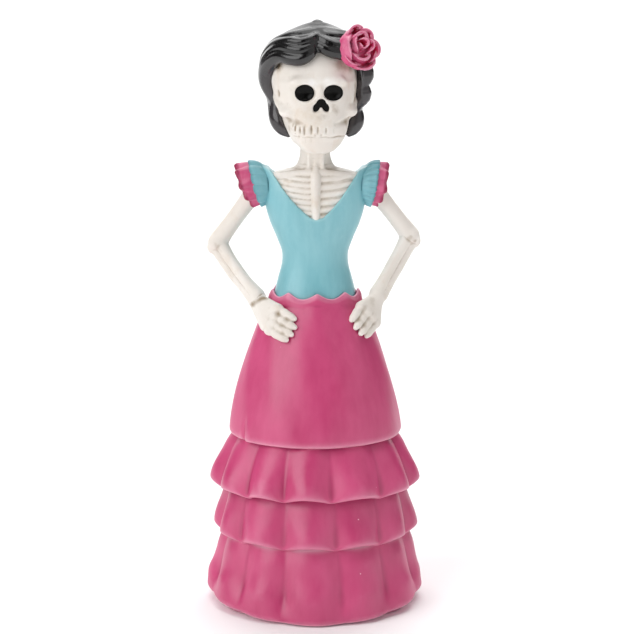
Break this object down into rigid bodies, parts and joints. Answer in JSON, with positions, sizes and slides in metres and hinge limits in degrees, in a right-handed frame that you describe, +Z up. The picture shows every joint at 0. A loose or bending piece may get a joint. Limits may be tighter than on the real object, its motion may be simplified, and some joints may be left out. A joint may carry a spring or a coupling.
{
  "type": "calavera lady figurine",
  "caption": "Standing painted resin skeleton lady in a flounced skirt, hands on hips, with a rose in the hair; a table ornament.",
  "frame": {"origin": "middle of the flat underside that the figure stands on", "axes": "+Z up; the figure faces -Y; its own left side is +X"},
  "size_m": [0.0754, 0.0716, 0.1998],
  "materials": {
    "skirt_paint": "brushed gloss paint on cast resin",
    "bodice_paint": "brushed gloss paint on cast resin",
    "bone_paint": "satin ivory paint with a brown wash in the recesses",
    "hair_paint": "gloss black paint",
    "rose_paint": "two-tone pink paint",
    "black_enamel": "black gloss enamel"
  },
  "bodies": {
    "root": {"hem_flounce": "skirt_paint", "middle_flounce": "skirt_paint", "upper_flounce": "skirt_paint", "skirt_bell": "skirt_paint", "bodice": "bodice_paint", "rib_cage": "bone_paint", "neck": "bone_paint", "skull": "bone_paint", "lower_jaw": "bone_paint", "right_eye_enamel": "black_enamel", "left_eye_enamel": "black_enamel", "nose_enamel": "black_enamel", "hair_crown": "hair_paint", "right_lock": "hair_paint", "left_lock": "hair_paint", "rose": "rose_paint", "right_sleeve_frill": "bodice_paint", "left_sleeve_frill": "bodice_paint", "right_sleeve_trim": "skirt_paint", "left_sleeve_trim": "skirt_paint", "right_upper_arm": "bone_paint", "left_upper_arm": "bone_paint", "right_forearm": "bone_paint", "left_forearm": "bone_paint", "right_hand": "bone_paint", "left_hand": "bone_paint"}
  },
  "joints": []
}
